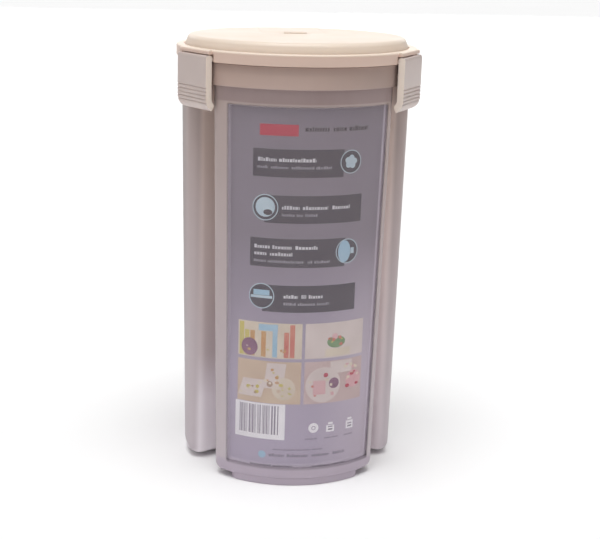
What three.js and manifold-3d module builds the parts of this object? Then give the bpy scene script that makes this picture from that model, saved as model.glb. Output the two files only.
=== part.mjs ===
// Three-compartment cereal dispenser.
//
// A jar of three lobes stands on three foot rims. A lid base covers it, with a port over each
// compartment, and three snap clips hold the lid base to ridges on the jar's neck. A disc turns on
// the lid base. Its pour hole, closed by a hinged flap, is brought over one port at a time.
//
// The real jar is one moulding. Here it is divided into simpler pieces: a base, three outer walls,
// three groove walls with their partitions, a centre column, a neck and a rim plate.
//
// Millimetres, +Z up. The origin is on the jar's axis, in the plane that the feet stand on.
// The front compartment faces -Y.

import * as THREE from 'three';
import { mergeVertices } from 'three/addons/utils/BufferGeometryUtils.js';
import Module from 'manifold-3d';

const wasm = await Module();
wasm.setup();

// ---------------------------------------------------------------- driving dimensions

const GAP = 0.3; // clearance between pieces that touch
const CUT = 2; // how far a cutting tool runs past the face it cuts
const OVERLAP = 0.2; // how far joined solids run into each other

// Directions in degrees from +X. Each groove lies between two lobes and has one clip over it.
const LOBES = { front: -90, rear_right: 30, rear_left: 150 };
const GROOVES = { front_right: -30, rear: 90, front_left: 210 };
const LOBE_PITCH = 120;

// Jar
const JAR_R_BOTTOM = 71;
const JAR_R_TOP = 74.2;
const HALF_GROOVE_BOTTOM = 9.7;
const HALF_GROOVE_TOP = 8.4;
const GROOVE_END_R = 34; // from the axis to the centre of a groove's round end
const LOBE_CORNER_R = 7.7;
const WALL = 1.8;
const HALF_PARTITION = 1;
const PARTITION_TIP_R = 5;
const COLUMN_R = 9.2; // hollow column on the axis, open at the base
const COLUMN_WALL = 1.8;
const FLOOR = 2;
const BASE_EDGE_R = 6;

const FOOT_H = 2.6;
const FOOT_TOP = 4.9; // feet run up into the rounded edge of the base
const FOOT_R = 69.8;
const FOOT_INSET = 10.5; // from the jar's grooves
const FOOT_W = 2.2;
const FOOT_CORNER_R = 8;

const NECK_R = 75.2;
const NECK_INNER_R = 72.4;
const NECK_BOTTOM = 257.5;
const NECK_TOP = 271.2;
const RIM_R = 73.7;
const RIM_PLATE_BOTTOM = 271;
const RIM_TOP = 274.4;

const RIDGE = { root: 73.4, tip: 77.3, bottom: 262, top: 265.5, tipH: 0.8, halfW: 13 };

// Where the jar is divided
const OUTER_WALL_HALF_ANGLE = 43; // degrees to each side of a lobe's direction
const OUTER_WALL_FROM_R = 50; // inside this radius there is no outer wall
const WALLS_BOTTOM = FOOT_H + BASE_EDGE_R;
const BEYOND_R = 100; // outside everything

// Card that slips into the front compartment, against its front wall
const CARD_T = 0.45;
const CARD_BOTTOM = 9.2;
const CARD_TOP = 248.5;
const CARD_LEFT = [-51.3, -54.5]; // along the wall from its middle, at the bottom and at the top
const CARD_RIGHT = [54.3, 61.5];

// Lid base
const RING_R = 78;
const RING_WALL = 2.4;
const RING_BOTTOM = 271.5;
const DECK_TOP = 278;
const DECK_T = 1.8;
const DECK_BOTTOM = DECK_TOP - DECK_T;
const EDGE_CHAMFER = 0.8;
const PORT_R = 19;
const PORT_AT = 45; // from the axis to the centre of each port and of the pour hole

const GASKET_T = 1.2;
const GASKET_R = 73.2;
const GASKET_BACK = 0.3; // how far the gasket stays back from the edges of the jar's mouths
const GASKET_CENTRE_R = 7;

// Clip and its hinge, in a section through the clip: u is outwards from the axis
const HINGE_U = 77.6;
const HINGE_Z = 273.3;
const BARREL_R = 1.3;
const HOOK_INNER_R = BARREL_R + GAP;
const HOOK_OUTER_R = 2.6;
const HOOK_FROM = -130;
const HOOK_TO = 60;
const HOOK_ROOT = -71; // the hook joins the clip's face between here and 0
const CLIP_HALF_W = 16.5;
const CLIP_T = 1.8;
const CLIP_CAP_R = 2.3; // closes each end of the hook
const CLIP_STRAIGHT = 24.3; // from the hinge down to where the lower end starts to curve in
const CLIP_END_R = 8.5;
const CLIP_END_SWEEP = 62;
const CLIP_END = CLIP_STRAIGHT + (CLIP_END_SWEEP * Math.PI / 180) * CLIP_END_R;
const CLIP_GRIPS = 5;
const CLIP_GRIP_FIRST = 17.5;
const CLIP_GRIP_PITCH = 2.3;
const CLIP_GRIP_HALF_W = 0.5;
const CLIP_GRIP_DEPTH = 0.45;
const CLIP_LIP = { tipU: 75.9, top: 261.4, bottom: 259.4, tipBottom: 260.4 };
const CLIP_FLANGE_T = 1.6;
const CLIP_FLANGE_H = 2.5;

const POCKET_U = 74.9;
const POCKET_HALF_W = 18.3;
const POCKET_TOP = 276.4;
const POCKET_WALL_T = 0.9;
const SHELF_U = 78.3;
const SHELF_HALF_W = 16.8;
const SHELF_CHAMFER = 1;
const WEB = { bottom: 272.2, top: 273.4, halfW: CLIP_HALF_W - CLIP_FLANGE_T - 0.5 };

// Turning disc
const DISC_TOP = 285;
const DISC_LIFT = 0.4; // between the disc's rim and the deck
const DISC_BOTTOM = DECK_TOP + DISC_LIFT;
const DISC_R_BOTTOM = 72.4;
const DISC_R_TOP = 71;
const DISC_EDGE_R = 3;
const DISC_T = 2;
const DISC_WALL = 1.8;
const POUR_R = 18.4;
const COLLAR_T = 1.8;
const COLLAR_BOTTOM = 279.7;
const TRAY_T = 1.6;
const RECESS_DEPTH = 1.8;
const DISH = { r: 8, depth: 1.6, y: 66 };

// Centre pivot of the disc
const DOME_R = 9.5;
const DOME_TOP = 280.2;
const DOME_CAVITY_R = 7.9;
const DOME_CAVITY_TOP = 278.6;
const SPINDLE_R = 4;
const SPINDLE_BOTTOM = 278.2;
const BOSS_R = 5.5;
const SCREW_R = 1.5;
const SCREW_TIP = 283.6;
const SCREW_HEAD = { r: 3.2, bottom: 275.2, top: 276.6 };
const WASHER = { r: 6.5, bottom: 276.9, top: 277.9 };

const SEAL_FLANGE_T = 1.1;
const SEAL_LIP_T = 0.9;
const SEAL_LIP_H = 2.6;

// Pour flap, its hinge across the disc near the middle, and its plug
const FLAP_HALF_W = 21;
const FLAP_FROM = 10.5;
const FLAP_TO = 65.8;
const FLAP_OUTER_CORNER_R = 12;
const FLAP_INNER_CORNER_R = 3;
const TRAY_BORDER = 2;
const FLAP_HINGE_Y = 9;
const KNUCKLE_R = 1.2;
const KNUCKLE_HALF_W = 3.5;
const KNUCKLES_HALF_W = 7.5;
const FLAP_PIN_R = 0.6;
const PIN_HOLE_R = 0.8;
const TONGUE_T = 1;
const TONGUE_TOP = DISC_TOP - 0.1;
const PLUG_R = 17.3;
const PLUG_WALL = 1.6;
const PLUG_BOTTOM = 279.6;
const PLUG_SEAL = { bottom: 280.9, top: 281.9, inner: 16.8, outer: 17.9 };
const PLUG_GROOVE_R = PLUG_SEAL.inner - GAP;

// How finely round shapes are divided
const RING_STEPS = 60;
const LOBE_STEPS = 12;
const HOLE_STEPS = 28;
const SMALL_STEPS = 16;
const CORNER_STEPS = 4;

// ---------------------------------------------------------------- outlines and solids

const radians = (degrees) => (degrees * Math.PI) / 180;

/** A point u along a direction given in degrees, and v to its left. */
function along(direction, u, v = 0) {
  const a = radians(direction);
  return [u * Math.cos(a) - v * Math.sin(a), u * Math.sin(a) + v * Math.cos(a)];
}

/** Points on an arc about a centre, both ends included, angles in degrees. */
function arc(cx, cy, r, from, to, steps) {
  return Array.from({ length: steps + 1 }, (_, i) => {
    const a = radians(from + ((to - from) * i) / steps);
    return [cx + r * Math.cos(a), cy + r * Math.sin(a)];
  });
}

const turnPoints = (points, direction) => points.map(([u, v]) => along(direction, u, v));

/** Turns a closed geometry into a solid that can be joined and cut, with its faces outwards. */
function solid(geometry) {
  const bare = geometry.clone();
  bare.deleteAttribute('normal');
  bare.deleteAttribute('uv');
  const merged = mergeVertices(bare, 1e-4);
  const at = merged.attributes.position.array;
  const corners = merged.index.array;
  const kept = [];
  let volume = 0;
  const [a, b, c] = [new THREE.Vector3(), new THREE.Vector3(), new THREE.Vector3()];
  for (let i = 0; i < corners.length; i += 3) {
    const [p, q, r] = [corners[i], corners[i + 1], corners[i + 2]];
    if (p === q || q === r || r === p) continue;
    kept.push(p, q, r);
    a.fromArray(at, 3 * p);
    b.fromArray(at, 3 * q);
    c.fromArray(at, 3 * r);
    volume += a.dot(b.cross(c));
  }
  if (volume < 0) kept.reverse();
  return new wasm.Manifold(new wasm.Mesh({
    numProp: 3,
    vertProperties: new Float32Array(at),
    triVerts: new Uint32Array(kept),
  }));
}

/** An upright solid of one outline, with holes given as outlines too. */
function prism(outline, bottom, top, holes = []) {
  const vectors = (points) => points.map(([x, y]) => new THREE.Vector2(x, y));
  const shape = new THREE.Shape(vectors(outline));
  shape.holes = holes.map((hole) => new THREE.Path(vectors(hole)));
  const geometry = new THREE.ExtrudeGeometry(shape, { depth: top - bottom, bevelEnabled: false });
  return solid(geometry.translate(0, 0, bottom));
}

/** A solid turned about a vertical line through (x, y), from a profile of [radius, z] points. */
function revolve(profile, steps, x = 0, y = 0) {
  const points = profile.map(([r, z]) => new THREE.Vector2(r, z));
  if (profile[0][0] > 0) points.push(points[0].clone());
  return solid(new THREE.LatheGeometry(points, steps).rotateX(Math.PI / 2).translate(x, y, 0));
}

/** An upright round bar or cutting tool. */
function bar(r, bottom, top, steps, x = 0, y = 0) {
  const geometry = new THREE.CylinderGeometry(r, r, top - bottom, steps).rotateX(Math.PI / 2);
  return solid(geometry.translate(x, y, (bottom + top) / 2));
}

/** A round bar along X, between x = from and x = to. */
function crossBar(r, from, to, y, z) {
  const geometry = new THREE.CylinderGeometry(r, r, to - from, SMALL_STEPS).rotateZ(Math.PI / 2);
  return solid(geometry.translate((from + to) / 2, y, z));
}

/** A box between two corners, turned to a direction about the axis. */
function block(low, high, direction = 0) {
  const size = high.map((value, i) => value - low[i]);
  const middle = high.map((value, i) => (value + low[i]) / 2);
  const geometry = new THREE.BoxGeometry(...size).translate(...middle);
  return solid(geometry.rotateZ(radians(direction)));
}

/** A section in (u, z) drawn out evenly to both sides of a direction. */
function acrossDirection(section, halfWidth, direction) {
  const shape = new THREE.Shape(section.map(([u, z]) => new THREE.Vector2(u, z)));
  const geometry = new THREE.ExtrudeGeometry(shape, { depth: 2 * halfWidth, bevelEnabled: false });
  geometry.translate(0, 0, -halfWidth).rotateX(Math.PI / 2).rotateZ(radians(direction));
  return solid(geometry);
}

/** A solid through rings of the same number of points, each ring {points, z}, lowest first. */
function loft(rings) {
  const count = rings[0].points.length;
  const positions = rings.flatMap(({ points, z }) => points.flatMap(([x, y]) => [x, y, z]));
  const faces = [];
  for (let level = 0; level < rings.length - 1; level++) {
    for (let i = 0; i < count; i++) {
      const [a, b] = [level * count + i, level * count + ((i + 1) % count)];
      faces.push(a, b, b + count, a, b + count, a + count);
    }
  }
  const cap = ({ points }) => {
    const outline = points.map(([x, y]) => new THREE.Vector2(x, y));
    return THREE.ShapeUtils.triangulateShape(outline, []);
  };
  const top = (rings.length - 1) * count;
  cap(rings[0]).forEach(([a, b, c]) => faces.push(c, b, a));
  cap(rings.at(-1)).forEach(([a, b, c]) => faces.push(a + top, b + top, c + top));
  const geometry = new THREE.BufferGeometry();
  geometry.setAttribute('position', new THREE.Float32BufferAttribute(positions, 3));
  geometry.setIndex(faces);
  return solid(geometry);
}

const join = (...solids) => solids.reduce((whole, next) => whole.add(next));
const cut = (whole, ...tools) => tools.reduce((left, tool) => left.subtract(tool), whole);

// ---------------------------------------------------------------- jar

/** The draft of the jar: a value that runs from one at the base to another at the neck. */
function drafted(atBottom, atTop, z) {
  const rise = Math.min(z, NECK_BOTTOM) / NECK_BOTTOM;
  return atBottom + (atTop - atBottom) * rise;
}

/** Where a lobe's corner of radius corner sits, seen along a groove. */
function cornerOf(radius, halfGroove, corner) {
  const v = halfGroove + corner;
  const u = Math.sqrt((radius - corner) ** 2 - v ** 2);
  return { u, v, angle: (Math.atan2(v, u) * 180) / Math.PI };
}

/** Outer outline of the jar at height z, moved in by inset. */
function jarOutline(z, inset) {
  const radius = drafted(JAR_R_BOTTOM, JAR_R_TOP, z) - inset;
  const halfGroove = drafted(HALF_GROOVE_BOTTOM, HALF_GROOVE_TOP, z) + inset;
  const corner = LOBE_CORNER_R - inset;
  const { u, v, angle } = cornerOf(radius, halfGroove, corner);
  const grooveEndSteps = 6;
  return Object.values(GROOVES).flatMap((direction) => {
    const lobe = arc(0, 0, radius, angle - LOBE_PITCH, -angle, LOBE_STEPS).slice(1, -1);
    const groove = [
      ...arc(u, -v, corner, -angle, 90, CORNER_STEPS),
      ...arc(GROOVE_END_R, 0, halfGroove, -90, -270, grooveEndSteps),
      ...arc(u, v, corner, -90, angle, CORNER_STEPS),
    ];
    return turnPoints([...lobe, ...groove], direction);
  });
}

/** Outline of one compartment, or of anything that follows it, in the direction of its lobe. */
function lobeOutline(lobe, radius, halfGroove, corner, halfPartition, tip) {
  const { u, v, angle } = cornerOf(radius, halfGroove, corner);
  const half = LOBE_PITCH / 2;
  const partition = (Math.asin(halfPartition / halfGroove) * 180) / Math.PI;
  const side = turnPoints([
    ...arc(u, -v, corner, -angle, 90, CORNER_STEPS),
    ...arc(GROOVE_END_R, 0, halfGroove, -90, partition - 180, CORNER_STEPS),
  ], half);
  const tipAt = (halfPartition + tip) / Math.sin(radians(half));
  const outline = [
    ...arc(0, 0, radius, angle - half, half - angle, LOBE_STEPS).slice(1, -1),
    ...side,
    ...arc(tipAt, 0, tip, 90 + half, 270 - half, 2),
    ...side.map(([x, y]) => [x, -y]).reverse(),
  ];
  return turnPoints(outline, lobe);
}

/** Outline of the inside of a compartment at height z, moved in by inset from its wall. */
function compartmentOutline(lobe, z, inset = 0) {
  return lobeOutline(
    lobe,
    drafted(JAR_R_BOTTOM, JAR_R_TOP, z) - WALL - inset,
    drafted(HALF_GROOVE_BOTTOM, HALF_GROOVE_TOP, z) + WALL + inset,
    LOBE_CORNER_R - WALL - Math.min(inset, LOBE_CORNER_R - WALL - 1),
    HALF_PARTITION + inset,
    PARTITION_TIP_R,
  );
}

/** Rings of an outline whose lowest edge is rounded with radius r. */
function roundedBase(outlineAt, bottom, r, top) {
  const steps = 3;
  const rings = arc(0, 0, r, -90, 0, steps).map(([x, y]) => {
    const z = bottom + r + y;
    return { points: outlineAt(z, r - x), z };
  });
  const upright = [NECK_BOTTOM, top].map((z) => ({ points: outlineAt(z, 0), z }));
  return [...rings, ...upright];
}

function makeJar() {
  const lobes = loft(roundedBase(jarOutline, FOOT_H, BASE_EDGE_R, RIM_PLATE_BOTTOM + OVERLAP));
  const neck = revolve([
    [0, RIM_PLATE_BOTTOM],
    [NECK_INNER_R, RIM_PLATE_BOTTOM],
    [NECK_INNER_R, NECK_BOTTOM],
    [NECK_R, NECK_BOTTOM],
    [NECK_R, NECK_TOP],
    [RIM_R, NECK_TOP],
    [RIM_R, RIM_TOP],
    [0, RIM_TOP],
  ], RING_STEPS);
  const ridgeSection = [
    [RIDGE.root, RIDGE.bottom],
    [RIDGE.tip, RIDGE.bottom],
    [RIDGE.tip, RIDGE.bottom + RIDGE.tipH],
    [RIDGE.root, RIDGE.top],
  ];
  const ridges = Object.values(GROOVES).map((d) => acrossDirection(ridgeSection, RIDGE.halfW, d));
  const footGroove = HALF_GROOVE_BOTTOM + FOOT_INSET;
  const feet = Object.values(LOBES).map((lobe) => {
    const loop = (inset) => lobeOutline(
      lobe, FOOT_R - inset, footGroove + inset, FOOT_CORNER_R - inset, FOOT_INSET + inset, FOOT_INSET);
    return prism(loop(0), 0, FOOT_TOP, [loop(FOOT_W)]);
  });
  const column = bar(COLUMN_R, 0, RIM_TOP + 2 * CUT, HOLE_STEPS);
  const compartments = Object.values(LOBES).map((lobe) => cut(loft(roundedBase(
    (z, inset) => compartmentOutline(lobe, z, inset),
    FOOT_H + FLOOR,
    BASE_EDGE_R - WALL,
    RIM_TOP + CUT,
  )), column));
  const columnHollow = bar(COLUMN_R - COLUMN_WALL, -CUT, RIM_PLATE_BOTTOM, HOLE_STEPS);
  return cut(join(lobes, neck, ...ridges, ...feet), ...compartments, columnHollow);
}

/** The part of a solid between two heights. */
function slice(whole, bottom, top) {
  return whole.intersect(block([-BEYOND_R, -BEYOND_R, bottom], [BEYOND_R, BEYOND_R, top]));
}

/** An upright wedge about a direction, as a tool for dividing the jar. */
function wedge(direction, halfAngle, innerR) {
  const corners = [
    along(direction - halfAngle, innerR),
    along(direction - halfAngle, 2 * BEYOND_R),
    along(direction + halfAngle, 2 * BEYOND_R),
    along(direction + halfAngle, innerR),
  ];
  return prism(innerR > 0 ? corners : corners.slice(0, 3), -CUT, RIM_TOP + CUT);
}

/** Divides the jar into pieces GAP apart, each a closed body, as {name: solid}. */
function divideJar(whole) {
  const walls = slice(whole, WALLS_BOTTOM + GAP, NECK_TOP - GAP);
  const column = bar(COLUMN_R + OVERLAP / 2, -CUT, RIM_TOP, RING_STEPS);
  const aroundColumn = bar(COLUMN_R + OVERLAP / 2 + GAP, -CUT, RIM_TOP, RING_STEPS);
  const insideNeck = bar(NECK_INNER_R - GAP, -CUT, RIM_TOP, RING_STEPS);
  const inNeck = cut(slice(walls, NECK_BOTTOM, NECK_TOP), bar(NECK_INNER_R, 0, RIM_TOP, RING_STEPS));
  const below = slice(walls, 0, NECK_BOTTOM - GAP);
  const above = slice(walls, NECK_BOTTOM - GAP, NECK_TOP).intersect(insideNeck);
  const gapAngle = (GAP / JAR_R_BOTTOM) * (180 / Math.PI);
  const outerWedges = Object.values(LOBES).map((lobe) =>
    wedge(lobe, OUTER_WALL_HALF_ANGLE + gapAngle, OUTER_WALL_FROM_R));
  const inner = cut(join(below, above), aroundColumn, ...outerWedges);
  const pieces = {
    jar_base: slice(whole, -CUT, WALLS_BOTTOM),
    jar_column: walls.intersect(column),
    jar_neck: inNeck,
    jar_rim: slice(whole, NECK_TOP, RIM_TOP + CUT),
  };
  Object.entries(LOBES).forEach(([place, lobe]) => {
    pieces[`jar_outer_wall_${place}`] = below.intersect(
      wedge(lobe, OUTER_WALL_HALF_ANGLE, OUTER_WALL_FROM_R));
  });
  Object.entries(GROOVES).forEach(([place, direction]) => {
    pieces[`jar_groove_wall_${place}`] = inner.intersect(wedge(direction, LOBE_PITCH / 2, 0));
  });
  return pieces;
}

/** A point on the front compartment's wall, s along it from its middle, and depth in from it. */
function onFrontWall(s, z, depth) {
  const radius = drafted(JAR_R_BOTTOM, JAR_R_TOP, z) - WALL;
  const halfGroove = drafted(HALF_GROOVE_BOTTOM, HALF_GROOVE_TOP, z) + WALL;
  const corner = LOBE_CORNER_R - WALL;
  const { u, v, angle } = cornerOf(radius, halfGroove, corner);
  const lastAngle = LOBE_PITCH / 2 - angle;
  const reach = Math.min(Math.abs(s), radians(lastAngle) * radius);
  const a = (reach / radius) * (180 / Math.PI);
  let point = along(a, radius - depth);
  if (Math.abs(s) > reach) {
    const centre = along(LOBE_PITCH / 2, u, -v);
    const turned = lastAngle + ((Math.abs(s) - reach) / corner) * (180 / Math.PI);
    const [dx, dy] = along(turned, corner - depth);
    point = [centre[0] + dx, centre[1] + dy];
  }
  return along(LOBES.front, point[0], Math.sign(s) * point[1]);
}

function makeCard() {
  const steps = 26;
  const rings = [CARD_BOTTOM, CARD_TOP].map((z, level) => {
    const [from, to] = [CARD_LEFT[level], CARD_RIGHT[level]];
    const line = (depth) => Array.from({ length: steps + 1 }, (_, i) =>
      onFrontWall(from + ((to - from) * i) / steps, z, depth));
    return { points: [...line(GAP), ...line(GAP + CARD_T).reverse()], z };
  });
  return loft(rings);
}

// ---------------------------------------------------------------- lid base and gasket

function makeLidBase() {
  const ringInner = RING_R - RING_WALL;
  const shell = revolve([
    [SPINDLE_R + GAP, DOME_CAVITY_TOP],
    [DOME_CAVITY_R, DOME_CAVITY_TOP],
    [DOME_CAVITY_R, DECK_BOTTOM],
    [ringInner, DECK_BOTTOM],
    [ringInner, RING_BOTTOM],
    [RING_R, RING_BOTTOM],
    [RING_R, DECK_TOP - EDGE_CHAMFER],
    [RING_R - EDGE_CHAMFER, DECK_TOP],
    [DOME_R, DECK_TOP],
    [DOME_R, DOME_TOP - EDGE_CHAMFER],
    [DOME_R - EDGE_CHAMFER, DOME_TOP],
    [SPINDLE_R + GAP, DOME_TOP],
  ], RING_STEPS);
  const ports = Object.values(LOBES).map((lobe) =>
    bar(PORT_R, DECK_BOTTOM - CUT, DECK_TOP + CUT, HOLE_STEPS, ...along(lobe, PORT_AT)));
  const pockets = Object.values(GROOVES).map((d) => block(
    [POCKET_U, -POCKET_HALF_W, RING_BOTTOM - CUT],
    [RING_R + CUT, POCKET_HALF_W, POCKET_TOP],
    d,
  ));
  return join(cut(shell, ...ports, ...pockets), ...Object.values(GROOVES).map(makeHingeLug));
}

/** The lid base's part of one clip hinge: a flat back wall, a shelf above it, a web and a barrel. */
function makeHingeLug(direction) {
  const wallHalfW = POCKET_HALF_W + 2 * OVERLAP;
  const backWall = block(
    [POCKET_U - POCKET_WALL_T, -wallHalfW, RING_BOTTOM],
    [POCKET_U, wallHalfW, POCKET_TOP + 2 * OVERLAP],
    direction,
  );
  const shelf = acrossDirection([
    [POCKET_U - POCKET_WALL_T, POCKET_TOP],
    [SHELF_U, POCKET_TOP],
    [SHELF_U, DECK_TOP - SHELF_CHAMFER],
    [SHELF_U - SHELF_CHAMFER, DECK_TOP],
    [POCKET_U - POCKET_WALL_T, DECK_TOP],
  ], SHELF_HALF_W, direction);
  const web = block(
    [POCKET_U - OVERLAP, -WEB.halfW, WEB.bottom],
    [HINGE_U, WEB.halfW, WEB.top],
    direction,
  );
  const barrelSection = arc(HINGE_U, HINGE_Z, BARREL_R, 0, 360, SMALL_STEPS).slice(1);
  const barrel = acrossDirection(barrelSection, WEB.halfW, direction);
  return join(backWall, shelf, web, barrel);
}

function makeGasket() {
  const bottom = RIM_TOP + GAP;
  const top = bottom + GASKET_T;
  const windows = Object.values(LOBES).map((lobe) =>
    prism(compartmentOutline(lobe, NECK_BOTTOM, -GASKET_BACK), bottom - CUT, top + CUT));
  const hub = bar(COLUMN_R, bottom, top, HOLE_STEPS);
  const centre = bar(GASKET_CENTRE_R, bottom - CUT, top + CUT, HOLE_STEPS);
  return cut(join(cut(bar(GASKET_R, bottom, top, RING_STEPS), ...windows), hub), centre);
}

// ---------------------------------------------------------------- clips

/** A point on the clip's outer face, s down it from the hinge, and depth in from it. */
function onClipFace(s, depth) {
  const faceU = HINGE_U + HOOK_OUTER_R;
  if (s <= CLIP_STRAIGHT) return [faceU - depth, HINGE_Z - s];
  const turned = -((s - CLIP_STRAIGHT) / CLIP_END_R) * (180 / Math.PI);
  const [du, dz] = along(turned, CLIP_END_R - depth);
  return [faceU - CLIP_END_R + du, HINGE_Z - CLIP_STRAIGHT + dz];
}

/** The clip's section: a hook round the barrel, a ribbed face, a curved end and a catch lip. */
function clipSection() {
  const grips = Array.from({ length: CLIP_GRIPS }, (_, i) => {
    const s = CLIP_GRIP_FIRST + i * CLIP_GRIP_PITCH;
    return [
      onClipFace(s - CLIP_GRIP_HALF_W, 0),
      onClipFace(s - CLIP_GRIP_HALF_W / 2, CLIP_GRIP_DEPTH),
      onClipFace(s + CLIP_GRIP_HALF_W / 2, CLIP_GRIP_DEPTH),
      onClipFace(s + CLIP_GRIP_HALF_W, 0),
    ];
  }).flat();
  const endSteps = 5;
  const endCurve = (from, to, depth) => Array.from({ length: endSteps + 1 }, (_, i) =>
    onClipFace(from + ((to - from) * i) / endSteps, depth));
  const afterGrips = CLIP_GRIP_FIRST + (CLIP_GRIPS - 1) * CLIP_GRIP_PITCH + CLIP_GRIP_PITCH / 2;
  const innerU = HINGE_U + HOOK_OUTER_R - CLIP_T;
  return [
    ...arc(HINGE_U, HINGE_Z, HOOK_OUTER_R, HOOK_TO, 0, 5),
    ...grips,
    ...endCurve(afterGrips, CLIP_END, 0),
    ...endCurve(CLIP_END, CLIP_STRAIGHT, CLIP_T),
    [innerU, CLIP_LIP.bottom],
    [CLIP_LIP.tipU, CLIP_LIP.tipBottom],
    [CLIP_LIP.tipU, CLIP_LIP.top],
    [innerU, CLIP_LIP.top],
    ...arc(HINGE_U, HINGE_Z, HOOK_OUTER_R, HOOK_ROOT, HOOK_FROM, 3),
    ...arc(HINGE_U, HINGE_Z, HOOK_INNER_R, HOOK_FROM, HOOK_TO, 10),
  ];
}

/** One clip, made in the direction of +X with its hinge line through the mesh's own origin. */
function makeClip() {
  const plate = acrossDirection(clipSection(), CLIP_HALF_W, 0);
  const steps = 8;
  const edge = (depth) => Array.from({ length: steps + 1 }, (_, i) =>
    onClipFace((CLIP_END * i) / steps, depth));
  const flangeSection = [...edge(CLIP_T / 2), ...edge(CLIP_T + CLIP_FLANGE_H).reverse()];
  const capSection = arc(HINGE_U, HINGE_Z, CLIP_CAP_R, 0, 360, SMALL_STEPS).slice(1);
  const sides = [-1, 1].flatMap((side) => {
    const middle = side * (CLIP_HALF_W - CLIP_FLANGE_T / 2);
    return [flangeSection, capSection].map((section) =>
      acrossDirection(section, CLIP_FLANGE_T / 2, 0).translate([0, middle, 0]));
  });
  return join(plate, ...sides).translate([-HINGE_U, 0, -HINGE_Z]);
}

// ---------------------------------------------------------------- turning disc and its pivot

/** Outline of the flap, its recess or the tray under it, grown by a border. */
function flapOutline(border) {
  const halfW = FLAP_HALF_W + border;
  const [from, to] = [FLAP_FROM - border, FLAP_TO + border];
  const [outer, inner] = [FLAP_OUTER_CORNER_R + border, FLAP_INNER_CORNER_R + border];
  return [
    ...arc(halfW - outer, to - outer, outer, 0, 90, 6),
    ...arc(-halfW + outer, to - outer, outer, 90, 180, 6),
    ...arc(-halfW + inner, from + inner, inner, 180, 270, 3),
    ...arc(halfW - inner, from + inner, inner, 270, 360, 3),
  ];
}

function makeDisc() {
  const plateBottom = DISC_TOP - DISC_T;
  const shoulder = DISC_TOP - DISC_EDGE_R;
  const shell = revolve([
    [0, SCREW_TIP + GAP],
    [SCREW_R + GAP, SCREW_TIP + GAP],
    [SCREW_R + GAP, SPINDLE_BOTTOM],
    [SPINDLE_R, SPINDLE_BOTTOM],
    [SPINDLE_R, DOME_TOP + GAP],
    [BOSS_R, DOME_TOP + GAP],
    [BOSS_R, plateBottom],
    [DISC_R_TOP - DISC_WALL, plateBottom],
    [DISC_R_BOTTOM - DISC_WALL, DISC_BOTTOM],
    [DISC_R_BOTTOM, DISC_BOTTOM],
    ...arc(DISC_R_TOP - DISC_EDGE_R, shoulder, DISC_EDGE_R, 0, 90, CORNER_STEPS),
    [0, DISC_TOP],
  ], RING_STEPS);
  const recessFloor = DISC_TOP - RECESS_DEPTH;
  const tray = prism(flapOutline(TRAY_BORDER), recessFloor - TRAY_T, plateBottom + OVERLAP);
  const collar = bar(POUR_R + COLLAR_T, COLLAR_BOTTOM, recessFloor - TRAY_T / 2, HOLE_STEPS, 0, PORT_AT);
  const knuckleLow = [-KNUCKLES_HALF_W, FLAP_HINGE_Y - KNUCKLE_R, plateBottom];
  const knuckleBlock = block(knuckleLow, [KNUCKLES_HALF_W, FLAP_HINGE_Y + KNUCKLE_R, DISC_TOP]);
  const barrel = crossBar(KNUCKLE_R, -KNUCKLES_HALF_W, KNUCKLES_HALF_W, FLAP_HINGE_Y, DISC_TOP);
  const relief = KNUCKLE_R + GAP;
  const tongueRelief = block(
    [-KNUCKLE_HALF_W - GAP, FLAP_HINGE_Y - relief, DISC_TOP - relief],
    [KNUCKLE_HALF_W + GAP, FLAP_FROM + CUT, DISC_TOP + KNUCKLE_R + CUT],
  );
  const holeEnd = KNUCKLES_HALF_W + CUT;
  const pinHole = crossBar(PIN_HOLE_R, -holeEnd, holeEnd, FLAP_HINGE_Y, DISC_TOP);
  const dish = new THREE.SphereGeometry(DISH.r, SMALL_STEPS, SMALL_STEPS / 2);
  dish.translate(0, DISH.y, DISC_TOP + DISH.r - DISH.depth);
  return cut(
    join(shell, tray, collar, knuckleBlock, barrel),
    prism(flapOutline(0), recessFloor, DISC_TOP + CUT),
    bar(POUR_R, COLLAR_BOTTOM - CUT, DISC_TOP + CUT, HOLE_STEPS, 0, PORT_AT),
    tongueRelief,
    pinHole,
    solid(dish),
  );
}

function makeScrew() {
  return revolve([
    [0, SCREW_HEAD.bottom],
    [SCREW_HEAD.r, SCREW_HEAD.bottom],
    [SCREW_HEAD.r, SCREW_HEAD.top],
    [SCREW_R, SCREW_HEAD.top],
    [SCREW_R, SCREW_TIP],
    [0, SCREW_TIP],
  ], SMALL_STEPS);
}

function makeWasher() {
  return revolve([
    [SCREW_R + GAP, WASHER.bottom],
    [WASHER.r, WASHER.bottom],
    [WASHER.r, WASHER.top],
    [SCREW_R + GAP, WASHER.top],
  ], HOLE_STEPS);
}

/** Soft ring under the pour hole's collar, which wipes over the deck as the disc turns. */
function makePortSeal() {
  const bottom = DECK_TOP + GAP;
  const flangeTop = bottom + SEAL_FLANGE_T;
  const lipInner = POUR_R + COLLAR_T + GAP;
  return revolve([
    [POUR_R, bottom],
    [lipInner + SEAL_LIP_T, bottom],
    [lipInner + SEAL_LIP_T, bottom + SEAL_LIP_H],
    [lipInner, bottom + SEAL_LIP_H],
    [lipInner, flangeTop],
    [POUR_R, flangeTop],
  ], HOLE_STEPS, 0, PORT_AT);
}

// ---------------------------------------------------------------- flap

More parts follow.
